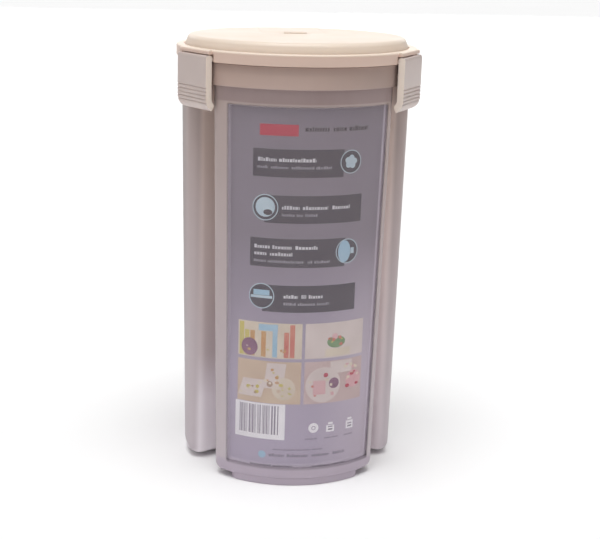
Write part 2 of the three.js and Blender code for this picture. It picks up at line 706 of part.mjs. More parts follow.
function makeFlap() {
  const plateBottom = DISC_TOP - RECESS_DEPTH + GAP;
  const plate = prism(flapOutline(-GAP), plateBottom, DISC_TOP);
  const plug = revolve([
    [PLUG_R - PLUG_WALL, PLUG_BOTTOM],
    [PLUG_R, PLUG_BOTTOM],
    [PLUG_R, PLUG_SEAL.bottom - GAP],
    [PLUG_GROOVE_R, PLUG_SEAL.bottom - GAP],
    [PLUG_GROOVE_R, PLUG_SEAL.top + GAP],
    [PLUG_R, PLUG_SEAL.top + GAP],
    [PLUG_R, plateBottom + OVERLAP],
    [PLUG_R - PLUG_WALL, plateBottom + OVERLAP],
  ], HOLE_STEPS, 0, PORT_AT);
  const tongue = block(
    [-KNUCKLE_HALF_W, FLAP_HINGE_Y, TONGUE_TOP - TONGUE_T],
    [KNUCKLE_HALF_W, FLAP_FROM + CUT, TONGUE_TOP],
  );
  const barrel = crossBar(KNUCKLE_R, -KNUCKLE_HALF_W, KNUCKLE_HALF_W, FLAP_HINGE_Y, DISC_TOP);
  const holeEnd = KNUCKLE_HALF_W + CUT;
  const pinHole = crossBar(PIN_HOLE_R, -holeEnd, holeEnd, FLAP_HINGE_Y, DISC_TOP);
  return cut(join(plate, plug, tongue, barrel), pinHole);
}

function makeFlapSeal() {
  return revolve([
    [PLUG_SEAL.inner, PLUG_SEAL.bottom],
    [PLUG_SEAL.outer, PLUG_SEAL.bottom],
    [PLUG_SEAL.outer, PLUG_SEAL.top],
    [PLUG_SEAL.inner, PLUG_SEAL.top],
  ], HOLE_STEPS, 0, PORT_AT);
}

function makeFlapPin() {
  return crossBar(FLAP_PIN_R, -KNUCKLES_HALF_W, KNUCKLES_HALF_W, FLAP_HINGE_Y, DISC_TOP);
}

// ---------------------------------------------------------------- materials and assembly

const MATERIALS = {
  frosted: { color: 0xb5abac, roughness: 0.45, metalness: 0 },
  card: { color: 0x8f8796, roughness: 0.7, metalness: 0 },
  cream: { color: 0xf0e4d4, roughness: 0.4, metalness: 0 },
  silicone: { color: 0xe9ecec, roughness: 0.6, metalness: 0 },
  steel: { color: 0xb9bcc0, roughness: 0.3, metalness: 1 },
};

function piece(name, shape, material) {
  const { vertProperties, triVerts } = shape.getMesh();
  const geometry = new THREE.BufferGeometry();
  geometry.setAttribute('position', new THREE.Float32BufferAttribute(vertProperties, 3));
  geometry.setIndex(new THREE.Uint32BufferAttribute(triVerts, 1));
  geometry.computeVertexNormals();
  const mesh = new THREE.Mesh(geometry, new THREE.MeshStandardMaterial(MATERIALS[material]));
  mesh.name = name;
  return mesh;
}

const jar = new THREE.Group();
for (const [name, shape] of Object.entries(divideJar(makeJar()))) {
  jar.add(piece(name, shape, 'frosted'));
}
jar.add(piece('label_card', makeCard(), 'card'));

const disc = new THREE.Group();
disc.add(piece('turn_disc', makeDisc(), 'cream'));
disc.add(piece('port_seal', makePortSeal(), 'silicone'));
disc.add(piece('pivot_screw', makeScrew(), 'steel'));
disc.add(piece('pivot_washer', makeWasher(), 'steel'));
disc.add(piece('flap_pin', makeFlapPin(), 'steel'));
disc.add(piece('pour_flap', makeFlap(), 'cream'));
disc.add(piece('flap_seal', makeFlapSeal(), 'silicone'));

const lid = new THREE.Group();
lid.add(piece('lid_base', makeLidBase(), 'cream'));
lid.add(piece('rim_gasket', makeGasket(), 'silicone'));
for (const [place, direction] of Object.entries(GROOVES)) {
  const clip = piece(`clip_${place}`, makeClip(), 'cream');
  const [x, y] = along(direction, HINGE_U);
  clip.position.set(x, y, HINGE_Z);
  clip.rotation.z = radians(direction);
  lid.add(clip);
}
lid.add(disc);

const group = new THREE.Group();
group.add(jar, lid);

export default group;
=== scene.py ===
"""Looks of the three-compartment cereal dispenser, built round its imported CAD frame.

Shapes are worked out in millimetres and turned to metres when a mesh is made. +Z is up and the
front compartment faces -Y, as in the frame. "s" is a distance along the front wall from its middle.
"""
import math
import random

import bpy
from mathutils import Matrix, Vector


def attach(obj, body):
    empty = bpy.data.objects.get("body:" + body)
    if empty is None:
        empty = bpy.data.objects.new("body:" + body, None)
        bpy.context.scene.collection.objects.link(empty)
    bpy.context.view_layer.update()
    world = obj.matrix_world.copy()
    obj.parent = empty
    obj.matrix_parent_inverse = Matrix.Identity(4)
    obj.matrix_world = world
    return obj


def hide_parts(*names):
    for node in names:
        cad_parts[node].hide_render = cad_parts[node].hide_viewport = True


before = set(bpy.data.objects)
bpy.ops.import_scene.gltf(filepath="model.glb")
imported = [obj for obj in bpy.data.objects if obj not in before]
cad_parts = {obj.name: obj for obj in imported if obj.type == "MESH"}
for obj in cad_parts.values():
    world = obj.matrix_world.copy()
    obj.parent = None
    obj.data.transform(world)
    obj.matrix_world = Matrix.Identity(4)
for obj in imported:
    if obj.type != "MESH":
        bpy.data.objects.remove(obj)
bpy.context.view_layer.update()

MM = 0.001
SCENE = bpy.context.scene

# ------------------------------------------------------------------ sizes, in mm and degrees

LOBES = (-90, 30, 150)
GROOVES = {"front_right": -30, "rear": 90, "front_left": 210}
LOBE_PITCH = 120
GAP = 0.3
CUT = 3
OVERLAP = 0.2

JAR_R = (71, 74.2)
HALF_GROOVE = (9.7, 8.4)
GROOVE_END_R = 34
LOBE_CORNER_R = 7.7
WALL = 1.8
HALF_PARTITION = 1
TIP_R = 5
COLUMN_R = 9.2
FLOOR = 2
BASE_EDGE_R = 6
FOOT_H, FOOT_TOP, FOOT_R, FOOT_INSET, FOOT_W, FOOT_CORNER_R = 2.6, 4.9, 69.8, 10.5, 2.2, 8
NECK_R, NECK_INNER_R, NECK_BOTTOM, NECK_TOP = 75.2, 72.4, 257.5, 271.2
RIM_R, RIM_PLATE_BOTTOM, RIM_TOP = 73.7, 271, 274.4
RIDGE_ROOT_U, RIDGE_U, RIDGE_HALF_W, RIDGE_BOTTOM, RIDGE_TOP = 73.4, 77.3, 13, 262, 265.5

CARD_T, CARD_BOTTOM, CARD_TOP = 0.45, 9.2, 248.5
CARD_LEFT, CARD_RIGHT = (-51.3, -54.5), (54.3, 61.5)
CARD_RIGHT_ANGLE = (0.765, 0.81)  # in radians, as this edge lies past the start of the lobe's corner
CARD_LAYER, PRINT_LAYER = 0.05, 0.03

RING_R, RING_WALL, RING_BOTTOM = 78, 2.4, 271.5
SPIGOT_HOLE_R, SPIGOT_INNER_R, SPIGOT_R, SPIGOT_PLATE_BOTTOM, SPIGOT_TOP = 4.3, 7.9, 9.5, 278.6, 280.2
DECK_TOP, DECK_BOTTOM, LEDGE_TOP, LEDGE_R = 278, 276.2, 278.7, 73
PORT_R, PORT_AT = 19, 45
HINGE_U, HINGE_Z, BARREL_R, BARREL_HALF_W = 77.6, 273.3, 1.3, 14.4
HOOK_OUTER_R, CLIP_HALF_W, CLIP_T = 2.6, 16.5, 1.8
CLIP_STRAIGHT, CLIP_END_R, CLIP_END_SWEEP = 24.3, 8.5, 62
POCKET_U, POCKET_HALF_W, POCKET_TOP, POCKET_WALL, POCKET_LAP = 74.9, 18.3, 276.4, 0.9, 0.4
SHELF_U, SHELF_HALF_W, SHELF_BOTTOM, SHELF_EDGE_R = 78.3, 16.8, 276.1, 1
WEB_BOTTOM, WEB_TOP = 272.2, 273.4
CLIP_FLANGE_T, CLIP_FLANGE_H, CLIP_CAP_R = 1.6, 2.5, 2.3
CATCH_U, CATCH_BOTTOM, CATCH_SLOPE, CATCH_TOP = 75.9, 259.4, 1, 261.4
GRIPS, GRIP_FROM, GRIP_PITCH, GRIP_HALF_W, GRIP_DEPTH, GRIPS_END = 5, 17.5, 2.3, 0.62, 0.45, 28.2
HOOK_ROOT, HOOK_BACK, HOOK_LIP = -71, -130, 60

DISC_TOP, DISC_BOTTOM, DISC_R, DISC_TOP_R, DISC_EDGE_R = 285, 278.08, 72.4, 71, 3.2
PLATE_BOTTOM, RECESS_FLOOR, TRAY_BORDER, TRAY_T = 283, 283.2, 2, 1.6
SCREW_HOLE_R, SCREW_HOLE_TOP = 1.8, 283.9
SPINDLE_R, SPINDLE_BOTTOM, BOSS_R, BOSS_BOTTOM = 4, 278.2, 5.5, 280.5
POUR_R, COLLAR_T, COLLAR_BOTTOM = 18.4, 1.8, 279.7
PLUG_R, PLUG_WALL, PLUG_BOTTOM, PLUG_EDGE_R = 17.3, 1.6, 279.6, 0.4
SEAL_GROOVE_R, SEAL_GROOVE_BOTTOM, SEAL_GROOVE_TOP = 16.5, 280.6, 282.2
FLAP_HALF_W, FLAP_FROM, FLAP_TO, FLAP_HINGE_Y = 21, 10.5, 65.8, 9
FLAP_OUTER_CORNER_R, FLAP_INNER_CORNER_R, FLAP_SEAM, TONGUE_BOTTOM = 12, 3, 0.12, 283.9
KNUCKLE_R, KNUCKLE_HALF_W, KNUCKLES_HALF_W, PIN_HOLE_R = 1.2, 3.5, 7.5, 0.8
DISH_R, DISH_DEPTH, DISH_AT = 8, 1.6, 66

# ------------------------------------------------------------------ camera


def add_camera():
    azimuth, yaw, pitch, roll = (math.radians(a) for a in (-6.5, -1.2, 14.5, 1.24))
    away, height = 0.8231, 0.3448
    ahead = Vector((-math.sin(azimuth), math.cos(azimuth), 0))
    side = Vector((math.cos(azimuth), math.sin(azimuth), 0))
    ahead, side = (
        ahead * math.cos(yaw) + side * math.sin(yaw),
        side * math.cos(yaw) - ahead * math.sin(yaw),
    )
    up = Vector((0, 0, 1))
    view = ahead * math.cos(pitch) - up * math.sin(pitch)
    top = ahead * math.sin(pitch) + up * math.cos(pitch)
    right = side * math.cos(roll) + top * math.sin(roll)
    top = top * math.cos(roll) - side * math.sin(roll)
    data = bpy.data.cameras.new("camera")
    data.sensor_width = 36
    data.lens = 75.05
    data.shift_x, data.shift_y = 0.0576, -0.0121
    camera = bpy.data.objects.new("camera", data)
    place = Vector((math.sin(azimuth) * away, -math.cos(azimuth) * away, height))
    turn = Matrix((right, top, -view)).transposed().to_4x4()
    camera.matrix_world = Matrix.Translation(place) @ turn
    SCENE.collection.objects.link(camera)
    SCENE.camera = camera


add_camera()

# ------------------------------------------------------------------ shape helpers


def along(direction, u, v=0.0):
    """The point u out along a direction in degrees, and v to its left."""
    a = math.radians(direction)
    return (u * math.cos(a) - v * math.sin(a), u * math.sin(a) + v * math.cos(a))


def arc(cx, cy, r, start, end, steps):
    turns = [math.radians(start + (end - start) * i / steps) for i in range(steps + 1)]
    return [(cx + r * math.cos(a), cy + r * math.sin(a)) for a in turns]


def turned(points, direction):
    return [along(direction, u, v) for u, v in points]


def add_object(name, points, faces):
    mesh = bpy.data.meshes.new(name)
    mesh.from_pydata([Vector(p) * MM for p in points], [], faces)
    mesh.update()
    obj = bpy.data.objects.new(name, mesh)
    SCENE.collection.objects.link(obj)
    return obj


def loft(rings):
    """A closed shape through rings (outline, z), lowest first, all with as many points."""
    count = len(rings[0][0])
    points = [(x, y, z) for outline, z in rings for x, y in outline]
    faces = [tuple(reversed(range(count)))]
    for level in range(len(rings) - 1):
        for i in range(count):
            a, b = level * count + i, level * count + (i + 1) % count
            faces.append((a, b, b + count, a + count))
    last = (len(rings) - 1) * count
    faces.append(tuple(range(last, last + count)))
    return add_object("shape", points, faces)


def prism(outline, bottom, top):
    return loft([(outline, bottom), (outline, top)])


def revolve(profile, steps, x=0.0, y=0.0):
    """A closed profile of (radius, z), going anticlockwise, turned about an upright line."""
    count = len(profile)
    points, faces, ring = [], [], []
    for r, z in profile:
        if r == 0:
            ring.append([len(points)] * steps)
            points.append((x, y, z))
        else:
            ring.append([len(points) + i for i in range(steps)])
            points += [(x + px, y + py, z) for px, py in arc(0, 0, r, 0, 360, steps)[:-1]]
    for level in range(count):
        low, high = ring[level], ring[(level + 1) % count]
        for i in range(steps):
            j = (i + 1) % steps
            face = []
            for corner in (low[i], low[j], high[j], high[i]):
                if corner not in face:
                    face.append(corner)
            if len(face) > 2:
                faces.append(tuple(face))
    return add_object("shape", points, faces)


def bar(r, bottom, top, steps, x=0.0, y=0.0):
    return prism([(x + px, y + py) for px, py in arc(0, 0, r, 0, 360, steps)[:-1]], bottom, top)


def across(section, half_width, direction, middle=0.0):
    """A section of (u, z), drawn out across a direction."""
    count = len(section)
    points = []
    for v in (middle - half_width, middle + half_width):
        points += [(*along(direction, u, v), z) for u, z in section]
    faces = [tuple(range(count)), tuple(reversed(range(count, 2 * count)))]
    for i in range(count):
        j = (i + 1) % count
        faces.append((j, i, i + count, j + count))
    return add_object("shape", points, faces)


def block(u, v, z, direction):
    """A box between two values of u, v and z, turned to a direction."""
    section = [(u[0], z[0]), (u[1], z[0]), (u[1], z[1]), (u[0], z[1])]
    return across(section, (v[1] - v[0]) / 2, direction, (v[0] + v[1]) / 2)


def applied(obj):
    """Applies every modifier."""
    seen = obj.evaluated_get(bpy.context.evaluated_depsgraph_get())
    mesh = bpy.data.meshes.new_from_object(seen)
    obj.modifiers.clear()
    obj.data = mesh
    return obj


def combine(obj, operation, tools):
    """Joins tools to a shape (UNION) or cuts it with them (DIFFERENCE)."""
    for tool in tools:
        step = obj.modifiers.new(operation, "BOOLEAN")
        step.operation, step.solver, step.object = operation, "MANIFOLD", tool
    applied(obj)
    for tool in tools:
        bpy.data.objects.remove(tool)
    return obj


def finish_shape(obj, name, body, look, replaced, bevel=0.0, sharp=40):
    """Names a shape, rounds its edges, shades it, and puts it on its body in place of CAD nodes."""
    obj.name = obj.data.name = name
    if bevel:
        edges = obj.modifiers.new("edges", "BEVEL")
        edges.width, edges.segments, edges.limit_method = bevel * MM, 3, "ANGLE"
        edges.angle_limit = math.radians(38)
        edges.use_clamp_overlap = True
        applied(obj)
    obj.data.shade_smooth()
    obj.data.set_sharp_from_angle(angle=math.radians(sharp))
    obj.data.materials.clear()
    obj.data.materials.append(look)
    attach(obj, body)
    if replaced:
        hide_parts(*replaced)
    return obj


# ------------------------------------------------------------------ materials


class Nodes:
    """Builds one material's nodes. Colours are linear RGB."""

    def __init__(self, name):
        self.material = bpy.data.materials.new(name)
        self.material.use_nodes = True
        self.tree = self.material.node_tree
        self.shader = self.tree.nodes["Principled BSDF"]
        self.place = self.add("ShaderNodeTexCoord").outputs["Object"]

    def add(self, kind, **values):
        node = self.tree.nodes.new(kind)
        for key, value in values.items():
            setattr(node, key, value)
        return node

    def feed(self, socket, value):
        if isinstance(value, bpy.types.NodeSocket):
            self.tree.links.new(value, socket)
        elif socket.type == "RGBA":
            socket.default_value = (*value, 1)
        else:
            socket.default_value = value

    def coordinates(self):
        """The object's own x, y and z, in metres."""
        split = self.add("ShaderNodeSeparateXYZ")
        self.feed(split.inputs[0], self.place)
        return split.outputs

    def math(self, operation, a, b=0.0):
        node = self.add("ShaderNodeMath", operation=operation)
        for socket, value in zip(node.inputs, (a, b)):
            self.feed(socket, value)
        return node.outputs[0]

    def times(self, a, b):
        return self.math("MULTIPLY", a, b)

    def from_front(self, x, y):
        """The angle round the jar from its front, in radians, with the right side above 0."""
        return self.math("ARCTAN2", x, self.times(y, -1.0))

    def fit(self, value, low, high, out_low=0.0, out_high=1.0, smooth=False):
        """Maps the range from low to high onto the one from out_low to out_high, and no further."""
        kind = "SMOOTHSTEP" if smooth else "LINEAR"
        node = self.add("ShaderNodeMapRange", interpolation_type=kind)
        for socket, v in zip(node.inputs[:5], (value, low, high, out_low, out_high)):
            self.feed(socket, v)
        return node.outputs[0]

    def noise(self, scale, detail=2.0, stretch=(1, 1, 1)):
        mapping = self.add("ShaderNodeMapping")
        mapping.inputs["Scale"].default_value = stretch
        self.feed(mapping.inputs["Vector"], self.place)
        node = self.add("ShaderNodeTexNoise")
        self.feed(node.inputs["Vector"], mapping.outputs[0])
        node.inputs["Scale"].default_value = scale
        node.inputs["Detail"].default_value = detail
        return node.outputs["Fac"]

    def blend(self, share, a, b):
        node = self.add("ShaderNodeMix", data_type="RGBA")
        self.feed(node.inputs["Factor"], share)
        self.feed(node.inputs[6], a)
        self.feed(node.inputs[7], b)
        return node.outputs[2]

    def bump(self, *heights):
        """Stacks bumps, each (height, depth in mm)."""
        normal = None
        for height, depth in heights:
            node = self.add("ShaderNodeBump")
            node.inputs["Distance"].default_value = depth * MM
            self.feed(node.inputs["Height"], height)
            if normal:
                self.feed(node.inputs["Normal"], normal)
            normal = node.outputs[0]
        self.feed(self.shader.inputs["Normal"], normal)

    def set(self, **values):
        for key, value in values.items():
            self.feed(self.shader.inputs[key.replace("_", " ")], value)
        return self.material


def moulded_plastic(name, colour, warm, rough, painted_shade_below_ledge=None):
    """Opaque satin plastic: faint clouding, fine grain, uneven gloss, and, if a shade colour is given,
    painted shade on the faces below the ledge.
    """
    n = Nodes(name)
    cloud = n.fit(n.noise(28, 3), 0.3, 0.7)
    fine = n.noise(900, 2)
    speck = n.fit(n.noise(420, 3), 0.62, 0.78)
    base = n.blend(cloud, colour, warm)
    base = n.blend(n.times(speck, 0.12), base, tuple(c * 0.82 for c in warm))
    # painted shade: every face below the ledge turns darker, as a side gets less light than the top
    if painted_shade_below_ledge:
        height = n.coordinates()[2]
        base = n.blend(n.fit(height, 0.2785, 0.2775), base, painted_shade_below_ledge)
    n.bump((fine, 0.012), (n.noise(60, 2), 0.06))
    n.shader.inputs["Subsurface Weight"].default_value = 0.06
    n.shader.inputs["Subsurface Radius"].default_value = (0.004, 0.003, 0.002)
    n.shader.inputs["Subsurface Scale"].default_value = 1.0
    gloss = n.fit(cloud, 0, 1, rough - 0.05, rough + 0.06)
    return n.set(Base_Color=base, Roughness=gloss, IOR=1.49)


def card_edges(n, height):
    """The angles round from the jar's front to the card's left and right edges."""
    left = n.fit(height, 0, 1, CARD_LEFT[0] / (JAR_R[0] - WALL), CARD_LEFT[1] / (JAR_R[1] - WALL))
    right = n.fit(height, 0, 1, *CARD_RIGHT_ANGLE)
    return left, right


def frosted_painted_tones(n, x, y, z, out, height):
    """The milky wall's colour, mostly painted light and shade: paler low down and in the grooves as
    painted light standing in for light soaking through the wall, darker up high, under the ring and over
    the card as painted shade.
    """
    # painted light and shade: each lobe paler low down and darker up high, as the floor lights its foot
    # and the ring shades its top
    front = n.blend(height, (0.64, 0.565, 0.61), (0.465, 0.365, 0.335))
    rear = n.blend(height, (0.62, 0.55, 0.59), (0.385, 0.305, 0.28))
    # painted highlight along the right rear lobe's edge
    rear = n.blend(n.fit(x, 0.060, 0.070), rear, (0.95, 0.90, 0.92))
    # painted shade on the left rear lobe's edge, stronger towards the top
    rear = n.blend(n.times(n.fit(x, -0.062, -0.072), height), rear, (0.21, 0.18, 0.175))
    base = n.blend(n.fit(y, -0.02, 0.0), front, rear)

    # painted light: the grooves are paler than the lobes, and paler on the right, standing in for light
    # that reaches into them
    right_side_lit = n.fit(x, -0.01, 0.01)
    low_groove = n.blend(right_side_lit, (0.68, 0.605, 0.655), (0.84, 0.75, 0.81))
    high_groove = n.blend(right_side_lit, (0.85, 0.705, 0.635), (0.97, 0.81, 0.73))
    groove = n.blend(height, low_groove, high_groove)
    # painted light low in the left groove
    painted_light_low_left = n.times(n.fit(z, 0.075, 0.045), n.fit(x, 0.0, -0.01))
    groove = n.blend(painted_light_low_left, groove, (0.97, 0.90, 0.95))
    # painted highlight on the groove wall beside the card's right edge
    highlight_beside_card = n.times(n.fit(x, 0.030, 0.036), n.fit(y, -0.038, -0.044))
    groove = n.blend(highlight_beside_card, groove, (0.97, 0.87, 0.92))
    base = n.blend(n.fit(out, 0.0695, 0.0655, smooth=True), base, groove)

    # painted shadow on the neck under the ring, and painted shade on the neck's right side
    neck = n.blend(n.fit(z, 0.2655, 0.2700), (0.56, 0.405, 0.345), (0.43, 0.305, 0.26))
    neck = n.blend(n.fit(x, 0.0, 0.05), neck, (0.44, 0.32, 0.275))
    base = n.blend(n.fit(z, 0.2565, 0.2585), base, neck)

    # painted shade along the front's rounded bottom edge
    front_foot_painted_shade = n.times(n.fit(z, 0.0145, 0.0115), n.fit(y, -0.040, -0.052))
    base = n.blend(front_foot_painted_shade, base, (0.55, 0.47, 0.56))
    # painted light under the rear lobes, cancelling the floor's shade there
    rear_foot_painted_light = n.times(n.fit(z, 0.0090, 0.0060), n.fit(y, -0.02, 0.0))
    base = n.blend(rear_foot_painted_light, base, (0.96, 0.90, 0.94))

    # painted shade over the card: the dark, empty compartment behind the wall under the lid
    shade_over_card = n.times(n.fit(z, 0.2482, 0.2492), n.fit(y, -0.048, -0.054))
    shade_over_card = n.times(shade_over_card, n.fit(z, 0.2578, 0.2572))
    return n.blend(shade_over_card, base, (0.325, 0.235, 0.228))


def card_window(n, x, y, z, out, height):
    """How far the wall is clear: 1 over the card and 0 elsewhere.

    On the wall's outer face the window starts a little inside the card's edges. On the inner face it
    starts outside them, so a slanting view through the wall never meets the wall's own inner face.
    """
    angle = n.from_front(x, y)
    left, right = card_edges(n, height)
    half_way_in = n.math("ADD", 0.0701, n.times(height, 0.0032))
    on_outer = n.math("GREATER_THAN", out, half_way_in)
    left = n.math("ADD", left, n.fit(on_outer, 0, 1, -0.045, 0.032))
    right = n.math("ADD", right, n.fit(on_outer, 0, 1, 0.075, -0.006))
    soft = 0.035
    window = n.times(
        n.fit(n.math("SUBTRACT", angle, left), 0.0, soft, smooth=True),
        n.fit(n.math("SUBTRACT", right, angle), 0.0, soft, smooth=True))
    above = n.fit(z, (CARD_BOTTOM + 1.2) * MM, (CARD_BOTTOM + 4.6) * MM, smooth=True)
    below = n.fit(z, CARD_TOP * MM, (CARD_TOP - 2.2) * MM, smooth=True)
    off_column = n.fit(out, 0.056, 0.060)
    for edge in (above, below, off_column):
        window = n.times(window, edge)
    return window


def frosted_plastic():
    """Milky polypropylene, clearer over the card, which lies against the front wall."""
    n = Nodes("frosted_plastic")
    x, y, z = n.coordinates()
    height = n.fit(z, 0.0, NECK_BOTTOM * MM)
    out = n.math("SQRT", n.math("ADD", n.times(x, x), n.times(y, y)))
    cloud = n.fit(n.noise(22, 4), 0.3, 0.72)
    streak = n.fit(n.noise(160, 2, (1, 1, 0.03)), 0.35, 0.7)
    grain = n.noise(1300, 2)
    # the wall's colour, with painted light and shade in it
    base = frosted_painted_tones(n, x, y, z, out, height)
    base = n.blend(n.times(cloud, 0.08), base, (0.90, 0.80, 0.80))
    base = n.blend(n.times(streak, 0.07), base, (0.45, 0.36, 0.35))
    window = card_window(n, x, y, z, out, height)
    haze = n.fit(cloud, 0, 1, 0.05, 0.09)
    alpha = n.add("ShaderNodeMix", data_type="FLOAT")
    for socket, value in zip(alpha.inputs[:1] + alpha.inputs[2:4], (window, 0.96, haze)):
        n.feed(socket, value)
    n.bump((grain, 0.02), (streak, 0.03))
    n.shader.inputs["Specular IOR Level"].default_value = 0.4
    gloss = n.fit(cloud, 0, 1, 0.42, 0.55)
    return n.set(Base_Color=base, Roughness=gloss, Alpha=alpha.outputs[0], IOR=1.49)


def printed(name, colour, other):
    """Ink, with uneven coverage and a fine print grain."""
    n = Nodes(name)
    cover = n.fit(n.noise(60, 4), 0.35, 0.68)
    dots = n.fit(n.noise(2200, 1), 0.4, 0.62)
    base = n.blend(cover, colour, other)
    base = n.blend(n.times(dots, 0.08), base, tuple(c * 0.7 for c in other))
    n.bump((n.noise(1500, 2), 0.006))
    return n.set(Base_Color=base, Roughness=n.fit(cover, 0, 1, 0.6, 0.7))


def card_stock():
    """The card's ground: dark lilac grey above, paler below and towards the lower right, with faint
    broad shapes.
    """
    n = Nodes("card_stock")
    x, y, z = n.coordinates()
    cloud = n.noise(14, 3)
    level = n.math("ADD", n.fit(z, 0.072, 0.168), n.fit(cloud, 0.3, 0.7, -0.06, 0.06))
    base = n.blend(n.fit(level, 0, 1), (0.50, 0.435, 0.56), (0.285, 0.248, 0.30))
    low_right = n.times(n.fit(x, 0.01, 0.05), n.fit(z, 0.16, 0.09))
    base = n.blend(n.times(low_right, 0.8), base, (0.66, 0.57, 0.66))
    # lighter round its edges, which makes up for the shade of the wall round the window
    angle = n.from_front(x, y)
    left, right = card_edges(n, n.fit(z, 0.0, NECK_BOTTOM * MM))
    at_left = n.fit(n.math("SUBTRACT", angle, left), 0.080, 0.040, smooth=True)
    at_right = n.fit(n.math("SUBTRACT", right, angle), 0.060, 0.030, smooth=True)
    at_bottom = n.fit(z, 0.0160, 0.0125, smooth=True)
    edge = n.math("MAXIMUM", n.math("MAXIMUM", at_left, at_right), at_bottom)
    base = n.blend(n.times(edge, 0.8), base, (0.93, 0.84, 0.97))
    dots = n.fit(n.noise(2200, 1), 0.4, 0.62)
    base = n.blend(n.times(dots, 0.10), base, (0.16, 0.14, 0.18))
    n.bump((n.noise(1500, 2), 0.006))
    return n.set(Base_Color=base, Roughness=n.fit(cloud, 0.3, 0.7, 0.55, 0.68))


def silicone():
    n = Nodes("silicone")
    cloud = n.fit(n.noise(120, 3), 0.3, 0.7)
    base = n.blend(cloud, (0.76, 0.78, 0.78), (0.66, 0.69, 0.70))
    n.bump((n.noise(900, 2), 0.02))
    n.shader.inputs["Subsurface Weight"].default_value = 0.1
    n.shader.inputs["Subsurface Radius"].default_value = (0.003, 0.003, 0.003)
    return n.set(Base_Color=base, Roughness=n.fit(cloud, 0, 1, 0.5, 0.65))


def steel():
    n = Nodes("steel")
    turned_marks = n.noise(700, 3, (1, 1, 0.2))
    base = n.blend(n.fit(turned_marks, 0.3, 0.7), (0.62, 0.62, 0.64), (0.48, 0.48, 0.50))
    n.bump((turned_marks, 0.01))
    gloss = n.fit(turned_marks, 0.3, 0.7, 0.24, 0.36)
    return n.set(Base_Color=base, Metallic=1.0, Roughness=gloss)


CREAM, WARM_CREAM = (0.93, 0.785, 0.665), (0.90, 0.755, 0.63)
LID = moulded_plastic("lid_plastic", CREAM, WARM_CREAM, 0.42)
# the ring's side below the ledge carries painted shade
SHADED_RING = moulded_plastic("ring_plastic_painted_shade", CREAM, WARM_CREAM, 0.42, painted_shade_below_ledge=(0.74, 0.55, 0.46))
# painted shade: the cream clips get a darker copy of the cream on their fronts, and a paler,
# painted-light copy on their forward-facing sides
SHADED_CLIP = moulded_plastic("clip_plastic", (0.62, 0.515, 0.48), (0.59, 0.485, 0.45), 0.40)
LIT_CLIP_SIDE = moulded_plastic("clip_side_plastic_painted_light", (0.93, 0.80, 0.70), (0.90, 0.77, 0.67), 0.42)
FROSTED = frosted_plastic()
CARD = card_stock()
SILICONE = silicone()
STEEL = steel()

# ------------------------------------------------------------------ jar


def drafted(pair, z):
    return pair[0] + (pair[1] - pair[0]) * min(z, NECK_BOTTOM) / NECK_BOTTOM


def corner_of(radius, half_groove, corner):
    """Where a lobe's corner of radius corner sits, seen along a groove."""
    v = half_groove + corner
    u = math.sqrt((radius - corner) ** 2 - v**2)
    return u, v, math.degrees(math.atan2(v, u))


def jar_outline(z, inset):
    radius = drafted(JAR_R, z) - inset
    half_groove = drafted(HALF_GROOVE, z) + inset
    corner = LOBE_CORNER_R - inset
    u, v, angle = corner_of(radius, half_groove, corner)
    outline = []
    for direction in GROOVES.values():
        side = arc(0, 0, radius, angle - LOBE_PITCH, -angle, 48)[1:-1]
        side += arc(u, -v, corner, -angle, 90, 12)
        side += arc(GROOVE_END_R, 0, half_groove, -90, -270, 20)
        side += arc(u, v, corner, -90, angle, 12)
        outline += turned(side, direction)
    return outline


def lobe_outline(lobe, radius, half_groove, corner, half_partition, tip):
    """The outline of one compartment, or of a foot, in the direction of its lobe."""
    u, v, angle = corner_of(radius, half_groove, corner)
    half = LOBE_PITCH / 2
    partition = math.degrees(math.asin(half_partition / half_groove))
    side = turned(
        arc(u, -v, corner, -angle, 90, 12)
        + arc(GROOVE_END_R, 0, half_groove, -90, partition - 180, 12), half)
    tip_at = (half_partition + tip) / math.sin(math.radians(half))
    outline = arc(0, 0, radius, angle - half, half - angle, 48)[1:-1] + side
    outline += arc(tip_at, 0, tip, 90 + half, 270 - half, 8)
    outline += [(px, -py) for px, py in reversed(side)]
    return turned(outline, lobe)


def compartment_outline(lobe, z, inset=0.0):
    corner = LOBE_CORNER_R - WALL
    return lobe_outline(
        lobe, drafted(JAR_R, z) - WALL - inset, drafted(HALF_GROOVE, z) + WALL + inset,
        corner - min(inset, corner - 1), HALF_PARTITION + inset, TIP_R)


def rounded_base(outline_at, bottom, r, top):
    """Rings of an outline whose lowest edge is rounded."""
    rings = []
    for px, py in arc(0, 0, r, -90, 0, 8):
        z = bottom + r + py
        rings.append((outline_at(z, r - px), z))
    return rings + [(outline_at(z, 0), z) for z in (NECK_BOTTOM, top)]


def fillet(x, z, r, start):
    """A quarter circle that rounds a profile's corner, about (x, z)."""
    return arc(x, z, r, start, start + 90, 5)


def foot_outline(lobe, inset):
    half_groove = HALF_GROOVE[0] + FOOT_INSET + inset
    return lobe_outline(
        lobe, FOOT_R - inset, half_groove, FOOT_CORNER_R - inset, FOOT_INSET + inset, FOOT_INSET)


def make_foot(lobe):
    """The rim that one lobe stands on."""
    r = 0.6
    rings = [(foot_outline(lobe, r - px), r + py) for px, py in arc(0, 0, r, -90, 0, 4)]
    foot = loft(rings + [(foot_outline(lobe, 0), FOOT_TOP)])
    hollow = prism(foot_outline(lobe, FOOT_W), -CUT, FOOT_TOP + CUT)
    return combine(foot, "DIFFERENCE", [hollow])


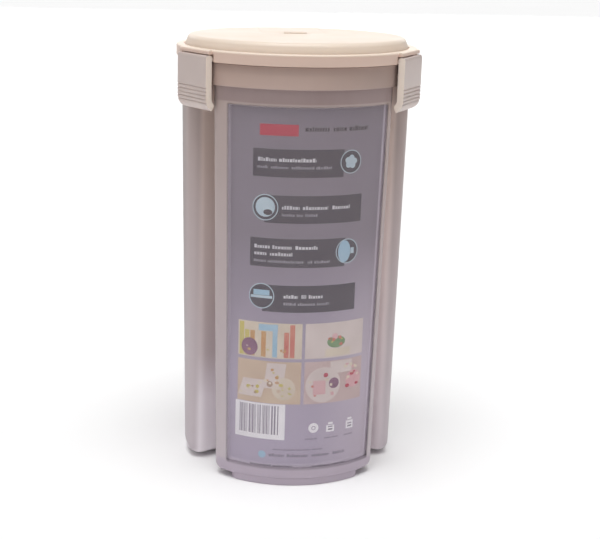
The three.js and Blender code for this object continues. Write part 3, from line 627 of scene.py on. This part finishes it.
def make_jar():
    jar = loft(rounded_base(jar_outline, FOOT_H, BASE_EDGE_R, RIM_PLATE_BOTTOM + OVERLAP))
    soft = 0.5
    neck = revolve([
        (0, RIM_PLATE_BOTTOM), (NECK_INNER_R, RIM_PLATE_BOTTOM), (NECK_INNER_R, NECK_BOTTOM),
        *fillet(NECK_R - soft, NECK_BOTTOM + soft, soft, -90),
        *fillet(NECK_R - soft, NECK_TOP - soft, soft, 0),
        (RIM_R, NECK_TOP), *fillet(RIM_R - soft, RIM_TOP - soft, soft, 0), (0, RIM_TOP)], 180)
    r = 0.4
    ridge = [
        (RIDGE_ROOT_U, RIDGE_BOTTOM), *fillet(RIDGE_U - r, RIDGE_BOTTOM + r, r, -90)[:-1],
        (RIDGE_U, RIDGE_BOTTOM + 2 * r), (RIDGE_ROOT_U, RIDGE_TOP)]
    ridges = [across(ridge, RIDGE_HALF_W, d) for d in GROOVES.values()]
    combine(jar, "UNION", [neck, *ridges, *(make_foot(lobe) for lobe in LOBES)])
    hollows = []
    for lobe in LOBES:
        rings = rounded_base(lambda z, inset, lobe=lobe: compartment_outline(lobe, z, inset),
                             FOOT_H + FLOOR, BASE_EDGE_R - WALL, RIM_TOP + CUT)
        hollow = loft(rings)
        hollows.append(combine(hollow, "DIFFERENCE", [bar(COLUMN_R, 0, RIM_TOP + 2 * CUT, 48)]))
    hollows.append(bar(COLUMN_R - WALL, -CUT, RIM_PLATE_BOTTOM, 48))
    combine(jar, "DIFFERENCE", hollows)
    nodes = [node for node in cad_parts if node.startswith("jar_")]
    return finish_shape(jar, "jar_shell", "jar", FROSTED, nodes, sharp=32)


make_jar()

# ------------------------------------------------------------------ card and its print


def on_front_wall(s, z, depth):
    """The point s along the front compartment's wall from its middle, and depth in from it."""
    radius = drafted(JAR_R, z) - WALL
    corner = LOBE_CORNER_R - WALL
    u, v, angle = corner_of(radius, drafted(HALF_GROOVE, z) + WALL, corner)
    last = LOBE_PITCH / 2 - angle
    reach = min(abs(s), math.radians(last) * radius)
    px, py = along(math.degrees(reach / radius), radius - depth)
    if abs(s) > reach:
        cx, cy = along(LOBE_PITCH / 2, u, -v)
        dx, dy = along(last + math.degrees((abs(s) - reach) / corner), corner - depth)
        px, py = cx + dx, cy + dy
    return (*along(LOBES[0], px, math.copysign(py, s)), z)


def make_card():
    steps = 60
    points, count = [], 2 * (steps + 1)
    for z, start, end in zip((CARD_BOTTOM, CARD_TOP), CARD_LEFT, CARD_RIGHT):
        line = [start + (end - start) * i / steps for i in range(steps + 1)]
        points += [on_front_wall(s, z, GAP) for s in line]
        points += [on_front_wall(s, z, GAP + CARD_T) for s in reversed(line)]
    faces = [tuple(reversed(range(count))), tuple(range(count, 2 * count))]
    faces += [(i, (i + 1) % count, (i + 1) % count + count, i + count) for i in range(count)]
    card = add_object("card", points, faces)
    return finish_shape(card, "card", "jar", CARD, ["label_card"])


make_card()

INKS = {
    "banner": ((0.094, 0.083, 0.106), (0.110, 0.099, 0.124)),
    "white": ((0.96, 0.93, 0.97), (0.90, 0.87, 0.92)),
    "words": ((0.74, 0.72, 0.77), (0.60, 0.58, 0.64)),
    "quiet": ((0.36, 0.34, 0.39), (0.30, 0.28, 0.33)),
    "faint": ((0.26, 0.23, 0.29), (0.30, 0.27, 0.33)),
    "bars": ((0.30, 0.26, 0.33), (0.38, 0.34, 0.42)),
    "sky": ((0.36, 0.56, 0.72), (0.45, 0.62, 0.76)),
    "pale": ((0.62, 0.72, 0.80), (0.50, 0.62, 0.72)),
    "rose": ((0.60, 0.09, 0.13), (0.50, 0.08, 0.12)),
    "charcoal": ((0.12, 0.10, 0.12), (0.09, 0.08, 0.10)),
    "cream": ((0.80, 0.70, 0.58), (0.70, 0.60, 0.50)),
    "sand": ((0.62, 0.46, 0.36), (0.70, 0.55, 0.42)),
    "tan": ((0.48, 0.33, 0.25), (0.40, 0.27, 0.21)),
    "yellow": ((0.70, 0.58, 0.16), (0.62, 0.55, 0.22)),
    "plum": ((0.24, 0.12, 0.20), (0.32, 0.17, 0.26)),
    "orange": ((0.66, 0.33, 0.14), (0.60, 0.40, 0.20)),
    "red": ((0.62, 0.16, 0.14), (0.70, 0.30, 0.22)),
    "pink": ((0.74, 0.42, 0.45), (0.78, 0.52, 0.54)),
    "green": ((0.20, 0.32, 0.16), (0.28, 0.40, 0.24)),
    "blush": ((0.60, 0.44, 0.43), (0.68, 0.54, 0.53)),
    "shell": ((0.78, 0.68, 0.66), (0.70, 0.60, 0.58)),
}


class Print:
    """Flat inked shapes laid on the card, in layers from the card outwards."""

    def __init__(self):
        self.points, self.faces, self.inks, self.names = [], [], [], []

    def grid(self, rows, ink, closed=False):
        """Faces over rows of (s, z) points, all in one layer."""
        if ink not in self.names:
            self.names.append(ink)
        first, count = len(self.points), len(rows[0])
        for row in rows:
            self.points += [on_front_wall(s, z, self.depth) for s, z in row]
        for j in range(len(rows) - 1):
            for i in range(count if closed else count - 1):
                a, b = first + j * count + i, first + j * count + (i + 1) % count
                self.faces.append((a, b, b + count, a + count))
                self.inks.append(self.names.index(ink))

    def layer(self, number):
        self.depth = GAP - CARD_LAYER - PRINT_LAYER * number
        return self

    def patch(self, s, z, ink, slant=0.0):
        """A rectangle between two values of s and of z, leaning by slant at its top."""
        steps = max(1, math.ceil((s[1] - s[0]) / 2))
        line = [s[0] + (s[1] - s[0]) * i / steps for i in range(steps + 1)]
        levels = 8 if slant else 1
        shares = [level / levels for level in range(levels + 1)]
        self.grid([[(p + slant * k, z[0] + (z[1] - z[0]) * k) for p in line] for k in shares], ink)

    def star(self, s, z, outline, ink, inner=0.0):
        """A shape given as points about (s, z), filled, or open inside a share of its size."""
        shares = [inner + (1 - inner) * i / 4 for i in range(5)]
        self.grid([[(s + px * k, z + pz * k) for px, pz in outline] for k in shares], ink, True)

    def disc(self, s, z, r, ink, inner=0.0, tall=1.0):
        outline = [(px, pz * tall) for px, pz in arc(0, 0, r, 0, 360, 40)[:-1]]
        self.star(s, z, outline, ink, inner)

    def words(self, s, z, lengths, height, ink):
        """Groups of small uneven blocks that stand for a line of print."""
        chance = random.Random(f"{s} {z}")
        for length in lengths:
            stop = s + length
            while s < stop:
                width = height * chance.uniform(0.3, 0.75)
                top = z + height * chance.choice((0.72, 0.78, 1))
                self.patch((s, min(s + width, stop)), (z, top), ink)
                s += width + height * 0.17
            s += height * 0.45

    def make(self):
        sheet = add_object("card_print", self.points, self.faces)
        for polygon, ink in zip(sheet.data.polygons, self.inks):
            polygon.material_index = ink
        sheet.data.shade_smooth()
        for ink in self.names:
            sheet.data.materials.append(printed(f"ink_{ink}", *INKS[ink]))
        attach(sheet, "jar")


def print_heading(p):
    """Plain bars where the card has its heading."""
    p.layer(1).patch((-29.5, -5.5), (229.5, 236.5), "rose")
    p.words(-1.5, 232.5, (15, 9, 14), 3, "charcoal")
    p.words(-1, 227.6, (12, 8, 11), 1.4, "faint")


def print_banners(p):
    banners = [
        ((-33.5, 24), (204, 221.3), 29, 213.3, 7.3),
        ((-25.5, 38), (175.2, 192.6), -25, 184.8, 8.2),
        ((-34.3, 27), (147, 165.3), 28.6, 156.6, 7.9),
        ((-25.5, 36), (117.8, 135.3), -26.2, 127.8, 8.2),
    ]
    for s, z, at, level, r in banners:
        p.layer(0).patch(s, z, "banner")
        p.layer(1).disc(at, level, r, "banner")
        p.layer(2).disc(at, level, r + 0.1, "pale", inner=0.93)
    p.layer(1)
    p.words(-30.3, 213.6, (12, 23), 2.4, "words")
    p.words(-30.8, 209.2, (7, 11, 14, 10), 1.9, "quiet")
    p.words(-14.5, 184, (11, 16, 12), 2.4, "words")
    p.words(-14.5, 179.6, (8, 4, 8), 1.9, "quiet")
    p.words(-31.5, 158.7, (10, 12, 14), 2.4, "words")
    p.words(-31.5, 154.3, (8, 14), 2.4, "words")
    p.words(-31.8, 149.8, (8, 23, 3, 10), 1.9, "quiet")
    p.words(-12, 127, (9, 3, 9), 2.4, "words")
    p.words(-12, 122.4, (8, 11, 8), 1.9, "quiet")


def print_badges(p):
    p.layer(3)
    for turn in range(5):
        ds, dz = along(72 * turn + 10, 2.5)
        p.disc(29 + ds, 213.3 + dz, 1.9, "pale")
    p.disc(29, 213.3, 2.6, "pale")
    p.disc(-25, 185, 6.2, "pale")
    p.layer(4).disc(-23.2, 181.8, 2.9, "charcoal", tall=0.62)
    p.layer(3).disc(26.6, 156.6, 4.4, "sky", tall=1.6)
    p.patch((31.2, 33.6), (154.8, 158.6), "pale")
    p.layer(3).patch((-31.5, -21), (128.3, 131.8), "sky")
    p.patch((-33.3, -19.2), (126.4, 128.1), "pale")


def print_pictures(p):
    """Four plain picture areas with generic stripes, spots and shapes."""
    left, right, low, high = (-41.5, 0.6), (2.6, 44.3), (56.2, 84.8), (86.9, 110.4)
    ground = {(0, 1): "cream", (1, 1): "shell", (0, 0): "sand", (1, 0): "blush"}
    for (i, j), ink in ground.items():
        p.layer(0).patch((left, right)[i], (low, high)[j], ink)
    p.layer(1)
    stripes = "yellow yellow orange cream orange cream sky cream red red cream"
    for i, ink in enumerate(stripes.split()):
        p.patch((-40.5 + 3.7 * i, -37.4 + 3.7 * i), (87.6, 104.5 if i % 3 else 109.5), ink)
    p.layer(2).disc(-33.5, 93.5, 5.6, "plum", tall=1.05)
    p.patch((-27.5, -15), (105, 109.3), "sky")
    p.layer(1).patch((16, 34), (87.8, 93), "cream")
    p.disc(23.5, 97.4, 6.4, "green", tall=0.62)
    p.layer(2).disc(22.4, 101, 2.1, "pink")
    p.layer(1).patch((-41, -25), (60, 72), "shell", slant=3.5)
    p.patch((-23.5, -11), (66.5, 83.6), "shell", slant=2)
    p.disc(-10.5, 66.5, 7.6, "cream")
    p.layer(2).disc(-19.5, 69.5, 2, "tan")
    p.layer(1).disc(15.5, 68.8, 12, "shell")
    p.patch((20, 36), (76, 84.2), "shell")
    p.disc(37.5, 70.5, 6, "pink")
    p.layer(2).patch((8.5, 17), (62.5, 72), "pink")
    p.disc(22.8, 69.5, 3.6, "plum")
    chance = random.Random(11)
    for s, z, wide, tall, inks in (
        (-33, 66, 7, 4, ("tan", "yellow", "cream")),
        (-17, 75, 5, 6, ("orange", "cream", "yellow")),
        (-10, 66, 5, 5, ("yellow", "sand")),
        (14, 69, 8, 8, ("pink", "red", "cream", "rose")),
        (37, 71, 5, 5, ("rose", "cream")),
        (35, 80, 5, 2, ("pink", "cream")),
        (23, 98, 5, 2.4, ("green", "yellow", "red")),
        (-22, 92, 14, 3, ("cream", "orange", "yellow")),
    ):
        for _ in range(9):
            ds, dz = chance.uniform(-wide, wide), chance.uniform(-tall, tall)
            size, ink = chance.uniform(0.6, 1.7), chance.choice(inks)
            p.layer(3).disc(s + ds, z + dz, size, ink, tall=chance.uniform(0.5, 1))


def print_code(p):
    """A generic bar pattern with no digits, in a white box."""
    p.layer(0).patch((-42.8, -9), (31.4, 55.9), "white")
    p.layer(1)
    chance = random.Random(7)
    s = -39.6
    while s < -12.6:
        width = chance.choice((0.35, 0.35, 0.7, 1.05))
        p.patch((s, s + width), (34.8, 54.6), "bars")
        s += width + chance.choice((0.4, 0.4, 0.75, 1.1))


def print_small(p):
    p.layer(0).disc(9.8, 39.6, 3.4, "white", inner=0.42)
    p.layer(1).disc(9.8, 39.6, 0.9, "white")
    for s, top in ((18.6, 42.6), (33.2, 43.6)):
        p.layer(0).patch((s, s + 5.8), (36, top - 2), "white")
        p.patch((s + 1.2, s + 4.6), (top - 1.4, top), "white")
        p.layer(1).patch((s + 1.3, s + 4.5), (37.2, 38.2), "faint")
        p.patch((s + 1.3, s + 4.5), (39.2, 39.9), "faint")
    p.layer(0)
    for s, lengths in ((4.5, (8,)), (17.6, (4, 5)), (31.8, (7,))):
        p.words(s, 31.6, lengths, 1, "faint")
    p.words(-16.5, 24.2, (6, 8, 9, 7), 1.1, "faint")
    p.words(-19, 19.6, (10, 14, 12, 9), 2.2, "faint")
    p.words(-31.5, 12.6, (14, 13), 1.3, "faint")
    p.words(9.5, 12.2, (12, 11), 1.3, "faint")
    p.disc(-23.6, 20.6, 2.5, "sky")


sheet = Print()
for draw in (print_heading, print_banners, print_badges, print_pictures, print_code, print_small):
    draw(sheet)
sheet.make()

# ------------------------------------------------------------------ lid base


def hinge_lug(d):
    """One clip's hinge, under the ledge: the pocket's wall, a shelf, and a barrel on a web."""
    back, side = POCKET_U - POCKET_WALL, POCKET_HALF_W + POCKET_LAP
    shelf = [
        (back, SHELF_BOTTOM), (SHELF_U, SHELF_BOTTOM),
        *fillet(SHELF_U - SHELF_EDGE_R, LEDGE_TOP - SHELF_EDGE_R, SHELF_EDGE_R, 0), (back, LEDGE_TOP)]
    barrel = arc(HINGE_U, HINGE_Z, BARREL_R, 0, 360, 24)[1:]
    web = (POCKET_U - POCKET_LAP, HINGE_U)
    return [
        block((back, POCKET_U), (-side, side), (RING_BOTTOM, POCKET_TOP + POCKET_LAP), d),
        across(shelf, SHELF_HALF_W, d),
        block(web, (-BARREL_HALF_W, BARREL_HALF_W), (WEB_BOTTOM, WEB_TOP), d),
        across(barrel, BARREL_HALF_W, d)]


def make_lid_base():
    inner, soft, edge = RING_R - RING_WALL, 0.9, 0.5
    base = revolve([
        (SPIGOT_HOLE_R, SPIGOT_PLATE_BOTTOM), (SPIGOT_INNER_R, SPIGOT_PLATE_BOTTOM),
        (SPIGOT_INNER_R, DECK_BOTTOM), (inner, DECK_BOTTOM), (inner, RING_BOTTOM),
        *fillet(RING_R - edge, RING_BOTTOM + edge, edge, -90),
        *fillet(RING_R - soft, LEDGE_TOP - soft, soft, 0),
        (LEDGE_R, LEDGE_TOP), (LEDGE_R, DECK_TOP), (SPIGOT_R, DECK_TOP),
        *fillet(SPIGOT_R - soft, SPIGOT_TOP - soft, soft, 0), (SPIGOT_HOLE_R, SPIGOT_TOP)], 180)
    ports = [bar(PORT_R, DECK_BOTTOM - CUT, DECK_TOP + CUT, 72, *along(d, PORT_AT)) for d in LOBES]
    width, height = (-POCKET_HALF_W, POCKET_HALF_W), (RING_BOTTOM - CUT, POCKET_TOP)
    pockets = [block((POCKET_U, RING_R + CUT), width, height, d) for d in GROOVES.values()]
    combine(base, "DIFFERENCE", ports + pockets)
    lugs = []
    for d in GROOVES.values():
        lugs += hinge_lug(d)
    combine(base, "UNION", lugs)
    return finish_shape(base, "lid_ring", "jar", SHADED_RING, ["lid_base"], bevel=0.18)


make_lid_base()

# ------------------------------------------------------------------ clips


def on_clip_face(s, depth):
    """The point s down the clip's outer face from the hinge, and depth in from it."""
    face = HINGE_U + HOOK_OUTER_R
    if s <= CLIP_STRAIGHT:
        return (face - depth, HINGE_Z - s)
    du, dz = along(-math.degrees((s - CLIP_STRAIGHT) / CLIP_END_R), CLIP_END_R - depth)
    return (face - CLIP_END_R + du, HINGE_Z - CLIP_STRAIGHT + dz)


def clip_curve(start, stop, depth, steps=12):
    return [on_clip_face(start + (stop - start) * i / steps, depth) for i in range(steps + 1)]


def grip_grooves():
    """The fine grooves across the lower part of a clip's outer face."""
    points, steps = [], 8
    for i in range(GRIPS):
        for step in range(steps + 1):
            share = 2 * step / steps - 1
            dip = GRIP_DEPTH * (0.5 + 0.5 * math.cos(math.pi * share))
            points.append(on_clip_face(GRIP_FROM + GRIP_PITCH * i + GRIP_HALF_W * share, dip))
    return points


def make_clip(place, direction):
    end = CLIP_STRAIGHT + math.radians(CLIP_END_SWEEP) * CLIP_END_R
    inner = HINGE_U + HOOK_OUTER_R - CLIP_T
    section = arc(HINGE_U, HINGE_Z, HOOK_OUTER_R, HOOK_LIP, 0, 12) + grip_grooves()
    section += clip_curve(GRIPS_END, end, 0)
    section += clip_curve(end, CLIP_STRAIGHT, CLIP_T)
    section += [(inner, CATCH_BOTTOM), (CATCH_U, CATCH_BOTTOM + CATCH_SLOPE), (CATCH_U, CATCH_TOP),
                (inner, CATCH_TOP)]
    section += arc(HINGE_U, HINGE_Z, HOOK_OUTER_R, HOOK_ROOT, HOOK_BACK, 8)
    section += arc(HINGE_U, HINGE_Z, BARREL_R + GAP, HOOK_BACK, HOOK_LIP, 24)
    section.reverse()
    plate = across(section, CLIP_HALF_W, direction)
    flange = clip_curve(0, end, CLIP_T / 2, 24) + clip_curve(end, 0, CLIP_T + CLIP_FLANGE_H, 24)
    flange.reverse()
    cap = arc(HINGE_U, HINGE_Z, CLIP_CAP_R, 0, 360, 32)[1:]
    half_flange = CLIP_FLANGE_T / 2
    ends = [across(shape, half_flange, direction, side * (CLIP_HALF_W - half_flange))
            for side in (-1, 1) for shape in (flange, cap)]
    combine(plate, "UNION", ends)
    name = f"clip_{place}"
    clip = finish_shape(plate, f"snap_{name}", name, SHADED_CLIP, [name], bevel=0.42, sharp=50)
    # the side faces that look forwards get the pale copy, as painted light
    clip.data.materials.append(LIT_CLIP_SIDE)
    across_it = Vector((*along(direction, 0, 1), 0))
    for polygon in clip.data.polygons:
        if abs(polygon.normal.dot(across_it)) > 0.75 and polygon.normal.y < -0.4:
            polygon.material_index = 1


for place, direction in GROOVES.items():
    make_clip(place, direction)

# ------------------------------------------------------------------ turning disc and flap


def flap_outline(border):
    half_w, start, end = FLAP_HALF_W + border, FLAP_FROM - border, FLAP_TO + border
    outer, inner = FLAP_OUTER_CORNER_R + border, FLAP_INNER_CORNER_R + border
    return (
        arc(half_w - outer, end - outer, outer, 0, 90, 16)
        + arc(-half_w + outer, end - outer, outer, 90, 180, 16)
        + arc(-half_w + inner, start + inner, inner, 180, 270, 8)
        + arc(half_w - inner, start + inner, inner, 270, 360, 8))


def cross_bar(r, half_w):
    """A round bar along X on the flap's hinge line."""
    return across(arc(FLAP_HINGE_Y, DISC_TOP, r, 0, 360, 24)[1:], half_w, 90)


def disc_profile():
    shoulder, skirt_r = DISC_TOP - DISC_EDGE_R, 0.4
    spindle = [
        (0, SCREW_HOLE_TOP), (SCREW_HOLE_R, SCREW_HOLE_TOP), (SCREW_HOLE_R, SPINDLE_BOTTOM),
        (SPINDLE_R, SPINDLE_BOTTOM), (SPINDLE_R, BOSS_BOTTOM), (BOSS_R, BOSS_BOTTOM),
        (BOSS_R, PLATE_BOTTOM)]
    skirt = [
        (DISC_TOP_R - 2.2, PLATE_BOTTOM), (DISC_R - 1.8, DISC_BOTTOM),
        *fillet(DISC_R - skirt_r, DISC_BOTTOM + skirt_r, skirt_r, -90)[:-1],
        (DISC_R - 0.02, DISC_BOTTOM + 0.5)]
    top = arc(DISC_TOP_R - DISC_EDGE_R, shoulder, DISC_EDGE_R, 4, 90, 14)
    return spindle + skirt + top + [(0, DISC_TOP)]


def finger_dish():
    """A ball that cuts the dish at the flap's outer end."""
    middle = DISC_TOP - DISH_DEPTH + DISH_R
    side = arc(0, middle, DISH_R, -90, 90, 24)[1:-1]
    return revolve([(0, middle - DISH_R), *side, (0, middle + DISH_R)], 48, 0, DISH_AT)


def make_disc():
    disc = revolve(disc_profile(), 180)
    tray = prism(flap_outline(TRAY_BORDER), RECESS_FLOOR - TRAY_T, PLATE_BOTTOM + 0.5)
    collar = bar(POUR_R + COLLAR_T, COLLAR_BOTTOM, RECESS_FLOOR - 0.8, 72, 0, PORT_AT)
    width = (-KNUCKLES_HALF_W, KNUCKLES_HALF_W)
    length = (FLAP_HINGE_Y - KNUCKLE_R, FLAP_HINGE_Y + KNUCKLE_R)
    knuckles = block(length, width, (PLATE_BOTTOM, DISC_TOP), 90)
    combine(disc, "UNION", [tray, collar, knuckles, cross_bar(KNUCKLE_R, KNUCKLES_HALF_W)])
    reach, half_w = KNUCKLE_R + FLAP_SEAM, KNUCKLE_HALF_W + FLAP_SEAM
    length, height = (FLAP_HINGE_Y - reach, FLAP_FROM + CUT), (DISC_TOP - reach, DISC_TOP + CUT)
    tongue_room = block(length, (-half_w, half_w), height, 90)
    combine(disc, "DIFFERENCE", [
        prism(flap_outline(0), RECESS_FLOOR, DISC_TOP + CUT),
        bar(POUR_R, COLLAR_BOTTOM - CUT, DISC_TOP + CUT, 72, 0, PORT_AT),
        tongue_room, cross_bar(PIN_HOLE_R, KNUCKLES_HALF_W + CUT), finger_dish()])
    return finish_shape(disc, "lid_disc", "disc", LID, ["turn_disc"], bevel=0.08)


def make_flap():
    bottom = RECESS_FLOOR + GAP
    flap = prism(flap_outline(-FLAP_SEAM), bottom, DISC_TOP)
    inner, low, root = PLUG_R - PLUG_WALL, PLUG_BOTTOM + PLUG_EDGE_R, bottom + OVERLAP
    plug = revolve([
        (inner, PLUG_BOTTOM), *fillet(PLUG_R - PLUG_EDGE_R, low, PLUG_EDGE_R, -90),
        (PLUG_R, SEAL_GROOVE_BOTTOM), (SEAL_GROOVE_R, SEAL_GROOVE_BOTTOM),
        (SEAL_GROOVE_R, SEAL_GROOVE_TOP), (PLUG_R, SEAL_GROOVE_TOP),
        (PLUG_R, root), (inner, root)], 72, 0, PORT_AT)
    width, height = (-KNUCKLE_HALF_W, KNUCKLE_HALF_W), (TONGUE_BOTTOM, DISC_TOP)
    tongue = block((FLAP_HINGE_Y, FLAP_FROM + 1), width, height, 90)
    combine(flap, "UNION", [plug, tongue, cross_bar(KNUCKLE_R, KNUCKLE_HALF_W)])
    combine(flap, "DIFFERENCE", [cross_bar(PIN_HOLE_R, KNUCKLE_HALF_W + CUT)])
    return finish_shape(flap, "lid_flap", "flap", LID, ["pour_flap"], bevel=0.08)


make_disc()
make_flap()

for node, look in {
    "rim_gasket": SILICONE, "port_seal": SILICONE, "flap_seal": SILICONE,
    "pivot_screw": STEEL, "pivot_washer": STEEL, "flap_pin": STEEL,
}.items():
    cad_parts[node].data.materials.clear()
    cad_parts[node].data.materials.append(look)

# ------------------------------------------------------------------ floor and light


def add_floor():
    half = 30000
    corners = [(-half, -half, 0), (half, -half, 0), (half, half, 0), (-half, half, 0)]
    floor = add_object("floor", corners, [(0, 1, 2, 3)])
    n = Nodes("floor")
    cloud = n.fit(n.noise(3, 2), 0.3, 0.7)
    base = n.blend(cloud, (0.96, 0.96, 0.96), (0.95, 0.95, 0.95))
    floor.data.materials.append(n.set(Base_Color=base, Roughness=0.9))
    n.shader.inputs["Specular IOR Level"].default_value = 0.1


def add_sun(name, toward, spread, strength):
    data = bpy.data.lights.new(name, "SUN")
    data.angle, data.energy = math.radians(spread), strength
    light = bpy.data.objects.new(name, data)
    light.rotation_euler = Vector(toward).to_track_quat("-Z", "Y").to_euler()
    SCENE.collection.objects.link(light)


def add_panel(name, place, target, size, power):
    data = bpy.data.lights.new(name, "AREA")
    data.shape, data.size, data.size_y, data.energy = "RECTANGLE", *size, power
    light = bpy.data.objects.new(name, data)
    light.location = place
    light.rotation_euler = (Vector(target) - Vector(place)).to_track_quat("-Z", "Y").to_euler()
    SCENE.collection.objects.link(light)


add_floor()
add_sun("overhead", (0.05, 0.17, -1), 38, 2.3)
add_sun("right", (-1, 0.15, -1.3), 50, 0.28)
add_sun("left", (1, 0.35, -1.2), 50, 0.29)
add_panel("back", (0, 5, 1.55), (0, 0, 0.2), (6, 2.2), 60)
world = bpy.data.worlds.new("studio")
world.use_nodes = True
world.node_tree.nodes["Background"].inputs["Color"].default_value = (1, 1, 1, 1)
world.node_tree.nodes["Background"].inputs["Strength"].default_value = 0.17
SCENE.world = world
SCENE.view_settings.view_transform = "Standard"
